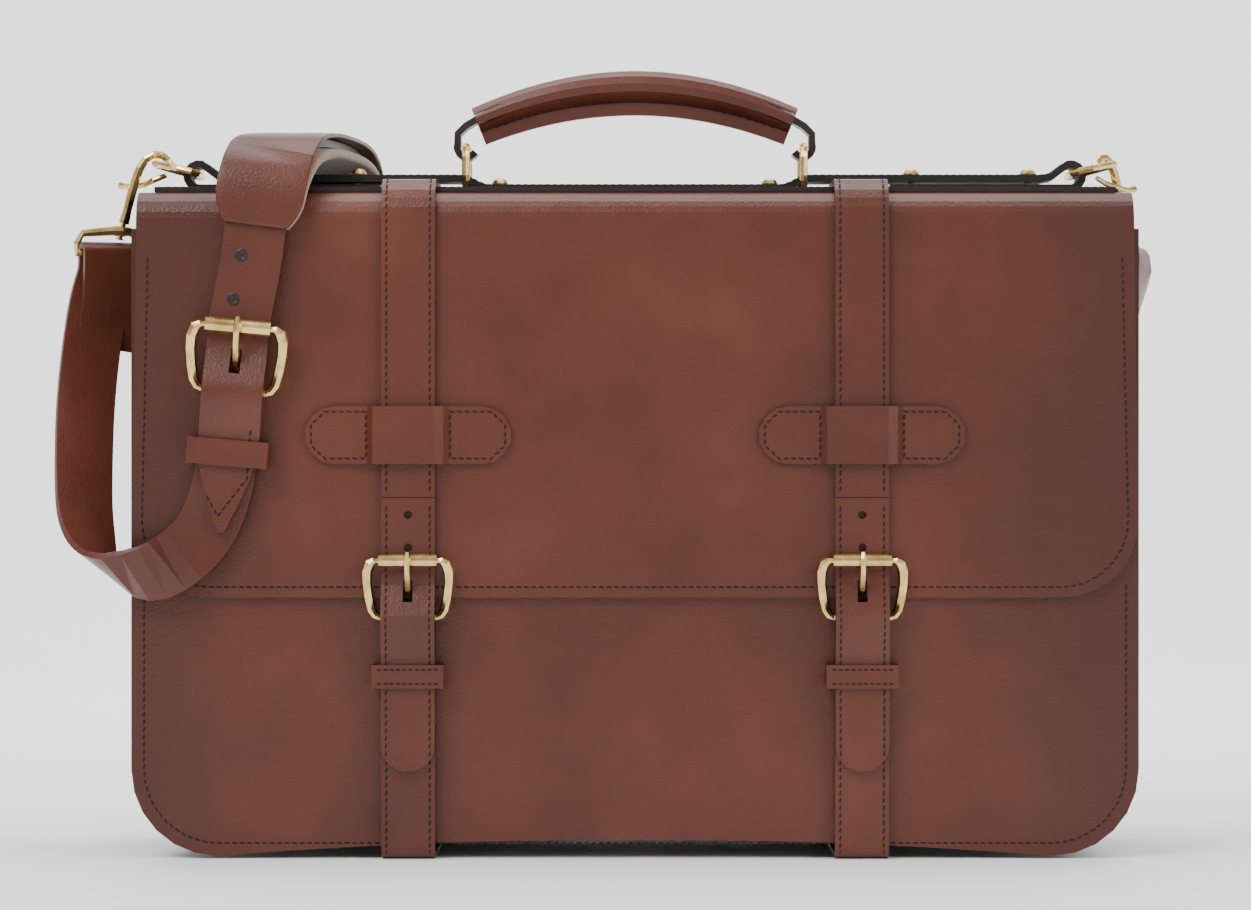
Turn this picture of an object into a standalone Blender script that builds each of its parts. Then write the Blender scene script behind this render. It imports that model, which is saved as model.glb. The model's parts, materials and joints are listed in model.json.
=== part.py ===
"""Leather flap-over briefcase with two closure belts, a top handle and a shoulder strap.

Every size and place below is in millimetres, in the case's own frame: x to the right, y to the
back, z up, with x = 0 and y = 0 in the middle of the case and z = 0 at the floor. Meshes are made
in metres. The case frame is an empty, set so that the world origin is the middle of the whole box.
"""

import math

import bmesh
import bpy
from mathutils import Matrix, Vector

MM = 0.001
GAP = 0.3  # between pieces that touch

# Driving dimensions
CASE_HALF_WIDTH = 216.0
FRONT_FACE = -54.0  # outer face of the front panel
BACK_FACE = 54.0
PANEL_THICKNESS = 3.0
FRONT_PANEL_TOP = 270.0
BACK_PANEL_TOP = 279.3
PANEL_CORNER = 37.0
CORNER_LIFT = 1.2  # panel edge above the floor at its corners
ARCH_RISE = 7.0  # and how much more in the middle

FLAP_THICKNESS = 3.0
FLAP_TOP = 286.0
FLAP_FACE = -57.6  # outer face of the flap's front
FLAP_BOTTOM = 112.0
FLAP_CORNER = 33.0
FLAP_BEND = 10.0
HINGE = (52.5, 281.5)  # y and z of the flap's hinge line

BELT_X = 97.0
BELT_WIDTH = 23.0
BELT_THICKNESS = 3.0
LOWER_BELT_THICKNESS = 2.6
HEEL_Z = 103.5  # axis of the buckle's heel bar
BELT_TIP_Z = 38.0

STRAP_SCALE = 1.12  # the shoulder strap and its buckle against the closure belts and theirs
STRAP_WIDTH = 26.0
STRAP_THICKNESS = 3.4
PAD_WIDTH = 38.0

RING_X = 74.0  # handle rings
END_RING_X = 192.1  # straight bar of each end ring
FRAME_SHIFT = (10.4, -4.9)  # the case's middle from the middle of the whole box, x and y

LEATHER = (0.19, 0.062, 0.04)
DARK_LEATHER = (0.09, 0.03, 0.02)
SUEDE = (0.36, 0.2, 0.1)
BRASS = (0.8, 0.56, 0.16)


# ---------------------------------------------------------------- objects and materials


def clear_scene():
    for obj in list(bpy.data.objects):
        bpy.data.objects.remove(obj, do_unlink=True)


def material(name, colour, roughness=0.45, metallic=0.0):
    made = bpy.data.materials.new(name)
    made.use_nodes = True
    shader = made.node_tree.nodes["Principled BSDF"]
    shader.inputs["Base Color"].default_value = (*colour, 1.0)
    shader.inputs["Roughness"].default_value = roughness
    shader.inputs["Metallic"].default_value = metallic
    return made


def axis_empty(name, point, parent=None):
    """An empty on a joint's axis, which the moving pieces are parented to."""
    empty = bpy.data.objects.new(name, None)
    empty.location = Vector(point) * MM
    bpy.context.scene.collection.objects.link(empty)
    bpy.context.view_layer.update()
    if parent:
        attach(empty, parent)
    return empty


def attach(obj, parent):
    obj.parent = parent
    obj.matrix_parent_inverse = parent.matrix_world.inverted()
    bpy.context.view_layer.update()


def add_mesh(name, shape, parent, colour, roughness=0.45, metallic=0.0):
    """Closes a bmesh in millimetres into a named object in metres."""
    bmesh.ops.remove_doubles(shape, verts=shape.verts, dist=1e-4)
    shape.normal_update()
    bmesh.ops.recalc_face_normals(shape, faces=shape.faces)
    bmesh.ops.scale(shape, vec=(MM, MM, MM), verts=shape.verts)
    mesh = bpy.data.meshes.new(name)
    shape.to_mesh(mesh)
    shape.free()
    mesh.shade_smooth()
    mesh.set_sharp_from_angle(angle=math.radians(40))
    mesh.materials.append(material(name, colour, roughness, metallic))
    obj = bpy.data.objects.new(name, mesh)
    bpy.context.scene.collection.objects.link(obj)
    attach(obj, parent)
    return obj


def cut(obj, shape):
    """Takes a bmesh in millimetres out of an object."""
    shape.normal_update()
    bmesh.ops.recalc_face_normals(shape, faces=shape.faces)
    bmesh.ops.scale(shape, vec=(MM, MM, MM), verts=shape.verts)
    mesh = bpy.data.meshes.new(obj.name + "_cut")
    shape.to_mesh(mesh)
    shape.free()
    cutter = bpy.data.objects.new(obj.name + "_cut", mesh)
    bpy.context.scene.collection.objects.link(cutter)
    cutter.hide_render = True
    cutter.display_type = "WIRE"
    attach(cutter, obj)
    boolean = obj.modifiers.new("Cut", "BOOLEAN")
    boolean.operation = "DIFFERENCE"
    boolean.object = cutter


# ---------------------------------------------------------------- shapes


def sweep(frames, sections, closed=False):
    """Skins a run of sections. A frame is (centre, u, n); a section is a list of (u, n) points."""
    shape = bmesh.new()
    rings = []
    for (centre, u, n), section in zip(frames, sections):
        rings.append([shape.verts.new(centre + u * a + n * b) for a, b in section])
    count = len(rings)
    for i in range(count if closed else count - 1):
        ring, following = rings[i], rings[(i + 1) % count]
        for j in range(len(ring)):
            k = (j + 1) % len(ring)
            shape.faces.new((ring[j], ring[k], following[k], following[j]))
    if not closed:
        shape.faces.new(rings[0])
        shape.faces.new(rings[-1])
    return shape


def tangents(points, closed=False):
    found = []
    last = len(points) - 1
    for i, point in enumerate(points):
        before = points[i - 1] if i or closed else point
        after = points[(i + 1) % len(points)] if i < last or closed else point
        found.append((after - before).normalized())
    return found


def frames_on(points, widths, closed=False):
    """Frames along points whose u is the width direction nearest to the one given."""
    frames = []
    for point, tangent, width in zip(points, tangents(points, closed), widths):
        u = (width - tangent * width.dot(tangent)).normalized()
        frames.append((point, u, tangent.cross(u)))
    return frames


def flat_section(half_width, thickness):
    half = thickness / 2
    return [(-half_width, -half), (half_width, -half), (half_width, half), (-half_width, half)]


def round_section(radius, sides):
    angles = [2 * math.pi * i / sides for i in range(sides)]
    return [(radius * math.cos(a), radius * math.sin(a)) for a in angles]


def strap(points, width, thickness, direction=Vector((1, 0, 0)), halves=None, closed=False):
    """A flat strap along its middle surface; halves gives a half width for each point."""
    points = [Vector(p) for p in points]
    directions = direction if isinstance(direction, list) else [direction] * len(points)
    halves = halves or [width / 2] * len(points)
    sections = [flat_section(half, thickness) for half in halves]
    return sweep(frames_on(points, directions, closed), sections, closed)


def wire(points, radii, direction, sides=8, closed=False):
    """A round wire; radii is one radius or one for each point."""
    points = [Vector(p) for p in points]
    radii = radii if isinstance(radii, list) else [radii] * len(points)
    sections = [round_section(radius, sides) for radius in radii]
    return sweep(frames_on(points, [direction] * len(points), closed), sections, closed)


def arc(centre, radius, start, end, steps, stretch=1.0):
    """Points of a flat arc, angles in degrees; stretch scales its second coordinate."""
    angles = [math.radians(start + (end - start) * i / steps) for i in range(steps + 1)]
    a, b = centre
    return [(a + radius * math.cos(t), b + radius * stretch * math.sin(t)) for t in angles]


def smooth(points, steps):
    """A Catmull-Rom curve through points, steps to each span."""
    points = [Vector(p) for p in points]
    ends = [points[0] * 2 - points[1], *points, points[-1] * 2 - points[-2]]
    curve = []
    for i in range(1, len(ends) - 2):
        p, q, r, s = ends[i - 1 : i + 3]
        for k in range(steps):
            t = k / steps
            curve.append(
                0.5 * (2 * q + (r - p) * t + (2 * p - 5 * q + 4 * r - s) * t * t)
                + 0.5 * (3 * q - p - 3 * r + s) * t**3
            )
    return [*curve, points[-1]]


def rounded_halves(points, half, corner):
    """Half widths that round off the last corners of a strap, by distance to its end."""
    points = [Vector(p) for p in points]
    left = [0.0]
    for i in range(len(points) - 1, 0, -1):
        left.insert(0, left[0] + (points[i] - points[i - 1]).length)
    inward = [max(0.0, corner - s) for s in left]
    return [half - corner + math.sqrt(max(0.0, corner**2 - a**2)) for a in inward]


def end_steps(start, end, corner, steps):
    """Points from start to end that close up over the last corner length, as a quarter turn."""
    start, end = Vector(start), Vector(end)
    along = (end - start).normalized()
    turns = [math.radians(90 * i / steps) for i in range(steps + 1)]
    return [start] + [end - along * corner * (1 - math.sin(t)) for t in turns]


def plate(outline, depth_axis, low, high):
    """A flat plate: outline in the two other axes' coordinates, from low to high along depth_axis."""
    shape = bmesh.new()
    if depth_axis == "y":
        verts = [shape.verts.new((a, low, b)) for a, b in outline]
        move = Vector((0, high - low, 0))
    else:
        verts = [shape.verts.new((a, b, low)) for a, b in outline]
        move = Vector((0, 0, high - low))
    face = shape.faces.new(verts)
    pushed = bmesh.ops.extrude_face_region(shape, geom=[face])
    moved = [v for v in pushed["geom"] if isinstance(v, bmesh.types.BMVert)]
    bmesh.ops.translate(shape, vec=move, verts=moved)
    return shape


def box(low, high):
    shape = bmesh.new()
    low, high = Vector(low), Vector(high)
    place = Matrix.Translation((low + high) / 2) @ Matrix.Diagonal((*(high - low), 1))
    bmesh.ops.create_cube(shape, size=1, matrix=place)
    return shape


def rod(start, end, radius, sides=12):
    start, end = Vector(start), Vector(end)
    turn = Vector((0, 0, 1)).rotation_difference(end - start).to_matrix().to_4x4()
    shape = bmesh.new()
    bmesh.ops.create_cone(
        shape,
        cap_ends=True,
        segments=sides,
        radius1=radius,
        radius2=radius,
        depth=(end - start).length,
        matrix=Matrix.Translation((start + end) / 2) @ turn,
    )
    return shape


def turned(profile, origin, axis, side, sides):
    """Turns a closed profile of (distance along axis, radius) points round an axis."""
    across = axis.cross(side)
    rings = []
    shape = bmesh.new()
    for i in range(sides):
        angle = 2 * math.pi * i / sides
        out = side * math.cos(angle) + across * math.sin(angle)
        rings.append([shape.verts.new(origin + axis * a + out * r) for a, r in profile])
    for i, ring in enumerate(rings):
        following = rings[(i + 1) % sides]
        for j in range(len(profile)):
            k = (j + 1) % len(profile)
            shape.faces.new((ring[j], ring[k], following[k], following[j]))
    bmesh.ops.dissolve_degenerate(shape, dist=1e-5, edges=shape.edges)
    return shape


# ---------------------------------------------------------------- the case


def panel_outline(top, half=CASE_HALF_WIDTH, corner=PANEL_CORNER):
    """A panel's outline: square at the top, round bottom corners, and an arched bottom edge."""
    inner = half - corner
    left = arc((-inner, CORNER_LIFT + corner), corner, 180, 270, 6)
    arch = []
    for i in range(1, 12):
        x = -inner + 2 * inner * i / 12
        arch.append((x, CORNER_LIFT + ARCH_RISE * (1 - (x / inner) ** 2)))
    right = [(-x, z) for x, z in reversed(left)]
    return [(-half, top), *left, *arch, *right, (half, top)]


def make_panels(case):
    front = plate(panel_outline(FRONT_PANEL_TOP), "y", FRONT_FACE, FRONT_FACE + PANEL_THICKNESS)
    add_mesh("front_panel", front, case, LEATHER)
    back = plate(panel_outline(BACK_PANEL_TOP), "y", BACK_FACE - PANEL_THICKNESS, BACK_FACE)
    add_mesh("back_panel", back, case, LEATHER)


def make_gusset(case):
    """The sides and bottom: one U of leather with a stitched flange along each panel."""
    web, top, corner, bottom = 208.0, 268.0, 28.0, 15.0
    left = arc((-web + corner, bottom + corner), corner, 180, 270, 5)
    path = [(-web, top), *left, *[(-x, z) for x, z in reversed(left)], (web, top)]
    points = [Vector((x, 0, z)) for x, z in path]
    inside = FRONT_FACE + PANEL_THICKNESS + GAP
    flange = 5.5
    section = [(inside, 2), (-inside, 2), (-inside, -flange), (-inside - 2, -flange)]
    section += [(-inside - 2, 0), (inside + 2, 0), (inside + 2, -flange), (inside, -flange)]
    frames = frames_on(points, [Vector((0, 1, 0))] * len(points))
    add_mesh("gusset", sweep(frames, [section] * len(frames)), case, DARK_LEATHER)


def make_inside(case):
    outline = [(-205, 255), *arc((-175, 48), 30, 180, 270, 5)]
    outline += [(-x, z) for x, z in reversed(outline)]
    add_mesh("centre_divider", plate(outline, "y", -1.0, 1.0), case, SUEDE, 0.9)
    back = BACK_FACE - PANEL_THICKNESS - GAP
    pocket = add_mesh("inner_pocket", box((-172, back - 9, 60), (172, back, 200)), case, SUEDE, 0.9)
    cut(pocket, box((-169.5, back - 7, 62.5), (169.5, back + 5, 210)))


# ---------------------------------------------------------------- buckled belts


class Place:
    """Where a buckle stands: its heel bar, width, outward and upward directions, and scale."""

    def __init__(self, origin, across, up, scale=1.0):
        self.origin, self.across, self.up, self.scale = Vector(origin), across, up, scale
        self.out = across.cross(up) * -1 if across.cross(up).y > 0 else across.cross(up)

    def at(self, u, h, v):
        return self.origin + (self.across * u + self.out * h + self.up * v) * self.scale


HEEL_OUT = 5.2  # heel bar's axis in front of the leather below it
ROLLER_OUT = 10.3
ROLLER_UP = 24.5
# (out, up) of each strap's middle surface, up from the heel bar
FOLD_DOWN = [(7.6, -5.5), (5.4, -11.5), (4.5, -17.5)]
TIP_PATH = [(5.4, 51.2), (5.4, 20.5), (6.6, 13.5), (9.6, 6.5), (11.9, 0.8), (11.4, -4.5)]
TIP_PATH += [(9.1, -11.5), (7.7, -17.5), (7.7, -30)]


def fold_points(place):
    """A strap end folded round the heel bar, from the short layer behind to the long one in front."""
    turn = [
        (HEEL_OUT - 3.5 * math.cos(math.radians(a)), 3.5 * math.sin(math.radians(a)))
        for a in range(0, 181, 22)
    ]
    path = [(1.7, -16.5), (1.7, -5), *turn, *FOLD_DOWN]
    return [place.at(0, h, v) for h, v in path]


def tongue_slot(place):
    """The slot in a fold that the tongue's eye turns in."""
    half = 2.3 * place.scale
    corners = [place.at(0, h, v) for h, v in ((-3, -7), (14, -7), (14, 7), (-3, 7))]
    shape = bmesh.new()
    low = [shape.verts.new(c - place.across * half) for c in corners]
    high = [shape.verts.new(c + place.across * half) for c in corners]
    shape.faces.new(low)
    shape.faces.new(high)
    for i in range(4):
        k = (i + 1) % 4
        shape.faces.new((low[i], low[k], high[k], high[i]))
    return shape


def make_buckle(name, place, frame_axis, tongue_axis, roller_axis):
    """Frame, roller and tongue of a roller buckle."""
    half = [(12, 0, 1.5), (14.2, 1.0, 1.9), (15.7, 3.5, 2.1), (16.9, 9, 2.15), (17.6, 15, 2.15)]
    half += [(17.5, 20, 2.4), (16.2, 23.4, 2.5), (14.4, 24.5, 1.7), (13.2, 24.5, 1.3)]
    side = [(u, HEEL_OUT + v * (ROLLER_OUT - HEEL_OUT) / ROLLER_UP, v, r) for u, v, r in half]
    loop = side + [(-u, h, v, r) for u, h, v, r in reversed(side)]
    points = [place.at(u, h, v) for u, h, v, _ in loop]
    radii = [r * place.scale for *_, r in loop]
    shape = wire(points, radii, place.out, 8, closed=True)
    add_mesh(f"{name}_frame", shape, frame_axis, BRASS, 0.2, 1.0)

    inner, outer, length = (s * place.scale for s in (1.75, 3.0, 12.4))
    profile = [(-length, inner), (-length, outer), (length, outer), (length, inner)]
    centre = place.at(0, ROLLER_OUT, ROLLER_UP)
    shape = turned(profile, centre, place.across, place.out, 16)
    add_mesh(f"{name}_roller", shape, roller_axis, BRASS, 0.2, 1.0)

    shaft = [(3.9, 4.2), (5.7, 7.4), (8.0, 11.0), (11.4, 15.4), (14.2, 19.0), (15.6, 22.4)]
    shaft += [(15.7, 25.4), (15.0, 28.0)]
    path = [place.at(0, h, v) for h, v in eye_path() + shaft]
    radii = [1.4 * place.scale] * (len(path) - 1) + [0.9 * place.scale]
    add_mesh(f"{name}_tongue", wire(path, radii, place.across, 8), tongue_axis, BRASS, 0.2, 1.0)


def eye_path():
    """(out, up) of a tongue's eye, from its open end round the heel bar to its shaft."""
    angles = [150 + 230 * i / 9 for i in range(10)]
    return [
        (HEEL_OUT - 3.3 * math.cos(math.radians(a)), 3.3 * math.sin(math.radians(a)))
        for a in angles
    ]


def make_keeper(name, place, up, axis):
    """The loop that holds a strap's tip against the strap under it."""
    inside, thickness = 13.4, 2.0
    low, high = 2.9, 9.5
    ring = [(-inside, low), (inside, low), (inside, high), (-inside, high)]
    shape = bmesh.new()
    layers = []
    for v in (up, up + 10):
        inner = [shape.verts.new(place.at(u, h, v)) for u, h in ring]
        outer = []
        for u, h in ring:
            wide = u + math.copysign(thickness, u)
            deep = h + (thickness if h == high else -thickness)
            outer.append(shape.verts.new(place.at(wide, deep, v)))
        layers.append((inner, outer))
    (inner, outer), (inner_top, outer_top) = layers
    for i in range(4):
        k = (i + 1) % 4
        shape.faces.new((inner[i], inner[k], inner_top[k], inner_top[i]))
        shape.faces.new((outer[i], outer[k], outer_top[k], outer_top[i]))
        shape.faces.new((inner[i], inner[k], outer[k], outer[i]))
        shape.faces.new((inner_top[i], inner_top[k], outer_top[k], outer_top[i]))
    add_mesh(name, shape, axis, LEATHER)


def holes_in(place, ups, out, radius=1.8):
    """Cutters for a row of round holes, with a long one where the tongue goes through."""
    shape = bmesh.new()
    for up in ups:
        start, end = place.at(0, out - 4, up), place.at(0, out + 4, up)
        hole = rod(start, end, radius, 10)
        mesh = bpy.data.meshes.new("hole")
        hole.to_mesh(mesh)
        hole.free()
        shape.from_mesh(mesh)
        bpy.data.meshes.remove(mesh)
    return shape


def tongue_hole(place):
    return box_on(place, (-2.1, -1, 6.8), (2.1, 16, 16.0))


def box_on(place, low, high):
    shape = box(low, high)
    for v in shape.verts:
        v.co = place.at(*v.co)
    return shape


def make_belt(side, sign, case, flap):
    """One closure belt: lower belt, buckle, keeper, the part on the flap and the buckled end."""
    x = sign * BELT_X
    place = Place((x, FRONT_FACE, HEEL_Z), Vector((1, 0, 0)), Vector((0, 0, 1)))
    below = [(-58.5, 20), *arc((-52.0, 7.8), 6.5, 180, 270, 5), *arc((52.2, 5.3), 4.0, 270, 360, 4)]
    below += [(55.8, 20), (55.8, BACK_PANEL_TOP - GAP)]
    points = fold_points(place) + [Vector((x, y, z)) for y, z in below]
    shape = strap(points, BELT_WIDTH, LOWER_BELT_THICKNESS)
    lower = add_mesh(f"lower_belt_{side}", shape, case, LEATHER)
    cut(lower, tongue_slot(place))

    heel = axis_empty(f"heel_axis_{side}", place.at(0, HEEL_OUT, 0), case)
    roller = axis_empty(f"roller_axis_{side}", place.at(0, ROLLER_OUT, ROLLER_UP), heel)
    tongue = axis_empty(f"tongue_axis_{side}", place.at(0, HEEL_OUT, 0), heel)
    make_buckle(f"buckle_{side}", place, heel, tongue, roller)
    keeper = axis_empty(f"keeper_axis_{side}", place.at(0, 6, -25), case)
    make_keeper(f"keeper_{side}", place, -30.0, keeper)

    over = [(49.5, 290.3), *arc((-46.1, 274.5), 13.3, 90, 180, 6, 15.8 / 13.3)]
    over += [(FLAP_FACE - GAP - BELT_THICKNESS / 2, HEEL_Z + 51.5)]
    points = [Vector((x, y, z)) for y, z in over]
    add_mesh(f"upper_belt_{side}", strap(points, BELT_WIDTH, BELT_THICKNESS), flap, LEATHER)

    path = [place.at(0, h, v) for h, v in TIP_PATH]
    tip = Vector((x, path[-1].y, BELT_TIP_Z))
    path = path[:-1] + end_steps(path[-1], tip, BELT_WIDTH / 2, 6)
    halves = rounded_halves(path, BELT_WIDTH / 2, BELT_WIDTH / 2 - 0.5)
    shape = strap(path, BELT_WIDTH, BELT_THICKNESS, halves=halves)
    end = add_mesh(f"belt_end_{side}", shape, flap, LEATHER)
    cut(end, tongue_hole(place))
    cut(end, holes_in(place, (30, 44), 5.4))


# ---------------------------------------------------------------- the flap and what is on it


def make_flap(flap):
    middle = FLAP_TOP - FLAP_THICKNESS / 2
    face = FLAP_FACE + FLAP_THICKNESS / 2
    over = arc((HINGE[0] - 3, HINGE[1]), 3.0, 0, 90, 4)
    over += arc((face + FLAP_BEND, middle - FLAP_BEND), FLAP_BEND, 90, 180, 7)
    over += [(face, 220)]
    points = [Vector((0, y, z)) for y, z in over]
    points += end_steps((0, face, FLAP_BOTTOM + 60), (0, face, FLAP_BOTTOM), FLAP_CORNER, 7)
    halves = rounded_halves(points, CASE_HALF_WIDTH, FLAP_CORNER)
    halves = [h - 2.6 * max(0.0, min(1.0, (p.z - 112) / 172)) for h, p in zip(halves, points)]
    add_mesh("flap", strap(points, 0, FLAP_THICKNESS, halves=halves), flap, LEATHER)
    top = [(-207, -46), (207, -46), (207, 46), (-207, 46)]
    shape = plate(top, "z", FLAP_TOP + GAP, FLAP_TOP + 2.5)
    add_mesh("top_reinforcement", shape, flap, DARK_LEATHER)


def make_flap_loop(side, sign, flap):
    """The fixed loop that the belt passes under, with a stitched tab at each side."""
    x, z = sign * BELT_X, 181.5
    out = FLAP_FACE - GAP - 1.1
    half = [(44, 0), (20, 0), (17, 0.5), (14.5, 3.3), (11, 4.4), (0, 4.7)]
    half = [(u, out - h) for u, h in half]
    path = half + [(-u, y) for u, y in reversed(half[:-1])]
    steps = [44 - 12.4 * (1 - math.sin(math.radians(a))) for a in (0, 25, 50, 72)]
    left = [(s, out) for s in reversed([*steps, 44.0])]
    path = left + path[1:-1] + [(-u, y) for u, y in reversed(left)]
    points = [Vector((x + u, y, z)) for u, y in path]
    limit = 12.4
    halves = []
    for u, _ in path:
        inward = max(0.0, limit - (44 - abs(u)))
        halves.append(max(3.0, math.sqrt(limit**2 - inward**2)))
    shape = strap(points, 0, 2.2, Vector((0, 0, 1)), halves)
    add_mesh(f"flap_loop_{side}", shape, flap, LEATHER)


STUD_X = (59.5, 122.0, 173.5)
BASE_LOW, BASE_HIGH = 290.35, 294.55  # middle of the handle base strap's two levels
BASE_THICKNESS = 3.1
BASE_WIDTH = 20.0


def base_strap_half():
    """(x, z) from the middle of the handle base strap to its folded end."""
    path = [(0.0, BASE_LOW), (64, BASE_LOW), (67.5, 291.0), (70.5, 292.5), (74, 294.3)]
    path += [(78, BASE_HIGH), (178, BASE_HIGH), (183, 295.3), (187, 298.4)]
    path += arc((191.5, 295.65), 5.3, 100, -90, 8)
    return path + [(186, BASE_LOW), (112, BASE_LOW)]


def make_base_strap(flap):
    right = base_strap_half()
    path = [(-x, z) for x, z in reversed(right)] + right[1:]
    points = [Vector((x, 0, z)) for x, z in path]
    shape = strap(points, BASE_WIDTH, BASE_THICKNESS, Vector((0, 1, 0)))
    base = add_mesh("handle_base_strap", shape, flap, DARK_LEATHER)
    holes = bmesh.new()
    for sign in (-1, 1):
        for x in STUD_X:
            hole = rod((sign * x, 0, 285), (sign * x, 0, 300), 1.9, 8)
            mesh = bpy.data.meshes.new("hole")
            hole.to_mesh(mesh)
            hole.free()
            holes.from_mesh(mesh)
            bpy.data.meshes.remove(mesh)
    cut(base, holes)


def make_studs(flap):
    """A domed brass stud, with its shank down through the base strap's layers."""
    for number, x in enumerate([s * x for s in (-1, 1) for x in STUD_X], start=1):
        seat = (BASE_LOW if abs(x) < RING_X else BASE_HIGH) + BASE_THICKNESS / 2 + GAP
        dome = [(0, 3.6), (0.8, 3.7), (2.0, 3.0), (2.8, 1.8), (3.1, 0.01)]
        profile = [(289.2 - seat, 0.01), (289.2 - seat, 1.5), (0, 1.5), *dome]
        add_mesh(f"stud_{number}", solid_turned(profile, (x, 0, seat)), flap, BRASS, 0.2, 1.0)


def solid_turned(profile, origin, axis=Vector((0, 0, 1)), sides=14):
    """A solid of revolution; its profile starts and ends on the axis."""
    side = axis.orthogonal().normalized()
    across = axis.cross(side)
    shape = bmesh.new()
    origin = Vector(origin)
    ends = [shape.verts.new(origin + axis * profile[i][0]) for i in (0, -1)]
    rings = []
    for a, r in profile[1:-1]:
        ring = []
        for i in range(sides):
            t = 2 * math.pi * i / sides
            out = side * math.cos(t) + across * math.sin(t)
            ring.append(shape.verts.new(origin + axis * a + out * r))
        rings.append(ring)
    for first, second in zip(rings, rings[1:]):
        for i in range(sides):
            k = (i + 1) % sides
            shape.faces.new((first[i], first[k], second[k], second[i]))
    for i in range(sides):
        k = (i + 1) % sides
        shape.faces.new((ends[0], rings[0][k], rings[0][i]))
        shape.faces.new((ends[1], rings[-1][i], rings[-1][k]))
    return shape


# ---------------------------------------------------------------- the handle

RING_LOW, RING_HIGH = 290.6, 308.6  # axes of a handle ring's lower and upper bars
HANDLE_ENDS = (71.0, 311.5)  # x and z where the core strap turns round a ring


def make_handle_ring(side, sign, axis):
    half_deep, corner = 14.5, 5.0
    points = []
    middle = (RING_LOW + RING_HIGH) / 2
    half_high = (RING_HIGH - RING_LOW) / 2
    for start, sy, sz in ((0, 1, 1), (90, -1, 1), (180, -1, -1), (270, 1, -1)):
        centre = (sy * (half_deep - corner), middle + sz * (half_high - corner))
        points += arc(centre, corner, start, start + 90, 4)
    points = [Vector((sign * RING_X, y, z)) for y, z in points]
    shape = wire(points, 1.75, Vector((1, 0, 0)), 8, closed=True)
    add_mesh(f"handle_ring_{side}", shape, axis, BRASS, 0.2, 1.0)


def handle_arch(x):
    """Height of the handle's middle line: an arch that flattens to straight ends."""
    return 314.0 + 21.5 * (1 - (x / 84.0) ** 2)


def make_handle(axis):
    """A padded cover with a flat stitched seam below it, round a core strap that holds the rings."""
    reach = 70.0
    xs = [-reach + 2 * reach * i / 20 for i in range(21)]
    points = [Vector((x, 0, handle_arch(x))) for x in xs]
    sections = []
    for x in xs:
        grow = 0.82 + 0.18 * math.cos(math.pi * x / 2 / reach)
        roll = [(8.2 * grow * math.cos(t), 7.4 * grow * math.sin(t)) for t in cover_angles()]
        seam = [(-1.6, -6.6 * grow - 6.0), (1.6, -6.6 * grow - 6.0)]
        sections.append([*roll, *seam])
    shape = sweep(frames_on(points, [Vector((0, 1, 0))] * len(points)), sections)
    cover = add_mesh("handle_cover", shape, axis, LEATHER)
    tunnel = [Vector((x, 0, handle_arch(x))) for x in [-90 + 180 * i / 20 for i in range(21)]]
    cut(cover, strap(tunnel, 12.6, 5.6, Vector((0, 1, 0))))

    ring = (RING_X, RING_HIGH)
    path = [(x, handle_arch(x)) for x in [66 * i / 8 for i in range(9)]]
    path += [(70, handle_arch(70)), (74.5, 317.9), (78.0, 314.4)]
    path += arc(ring, 4.3, 20, -150, 9)
    points = [Vector((-x, 0, z)) for x, z in reversed(path)] + [Vector((x, 0, z)) for x, z in path[1:]]
    shape = strap(points, 12, 3.0, Vector((0, 1, 0)))
    add_mesh("handle_core", shape, axis, DARK_LEATHER)


def cover_angles():
    return [math.radians(-75 + 330 * i / 12) for i in range(13)]


# ---------------------------------------------------------------- end rings, hooks and swivel loops

RING_TILT = math.radians(14)
END_RING_DEPTH = 20.3
END_RING_HALF = 15.2
END_RING_Z = 296.5


def make_end_ring(side, sign, axis):
    angles = [math.radians(14 + 152 * i / 14) for i in range(15)]
    points = []
    for t in angles:
        reach, y = END_RING_DEPTH * math.sin(t), -END_RING_HALF * math.cos(t)
        if t in (angles[0], angles[-1]):
            reach = 2.4
        points.append((reach, y))
    points = [(0.0, points[0][1] * 0.86), *points, (0.0, points[-1][1] * 0.86)]
    points = [
        Vector((sign * (END_RING_X + r * math.cos(RING_TILT)), y, END_RING_Z + r * math.sin(RING_TILT)))
        for r, y in points
    ]
    shape = wire(points, 1.6, Vector((0, 0, 1)), 8, closed=True)
    add_mesh(f"end_ring_{side}", shape, axis, BRASS, 0.2, 1.0)


class HookPlace:
    """The upright plane a hook hangs in: where it holds the ring, and which way is outward."""

    def __init__(self, held, outward, bar_width):
        self.held, self.outward, self.bar_width = Vector(held), Vector(outward), Vector(bar_width)
        self.across = self.outward.cross(Vector((0, 0, 1)))

    def at(self, out, z):
        """A point of the hook's plane: distance outward of the ring's wire, and height."""
        return self.held + self.outward * out + Vector((0, 0, z))


COLLAR = (14.8, -29.7)  # hook's swivel from the ring's wire: outward and up
SHANK = Vector((-0.25, 0.97)).normalized()  # the swivel's axis, up the shank
PIVOT = (8.5, -9.9)


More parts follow.
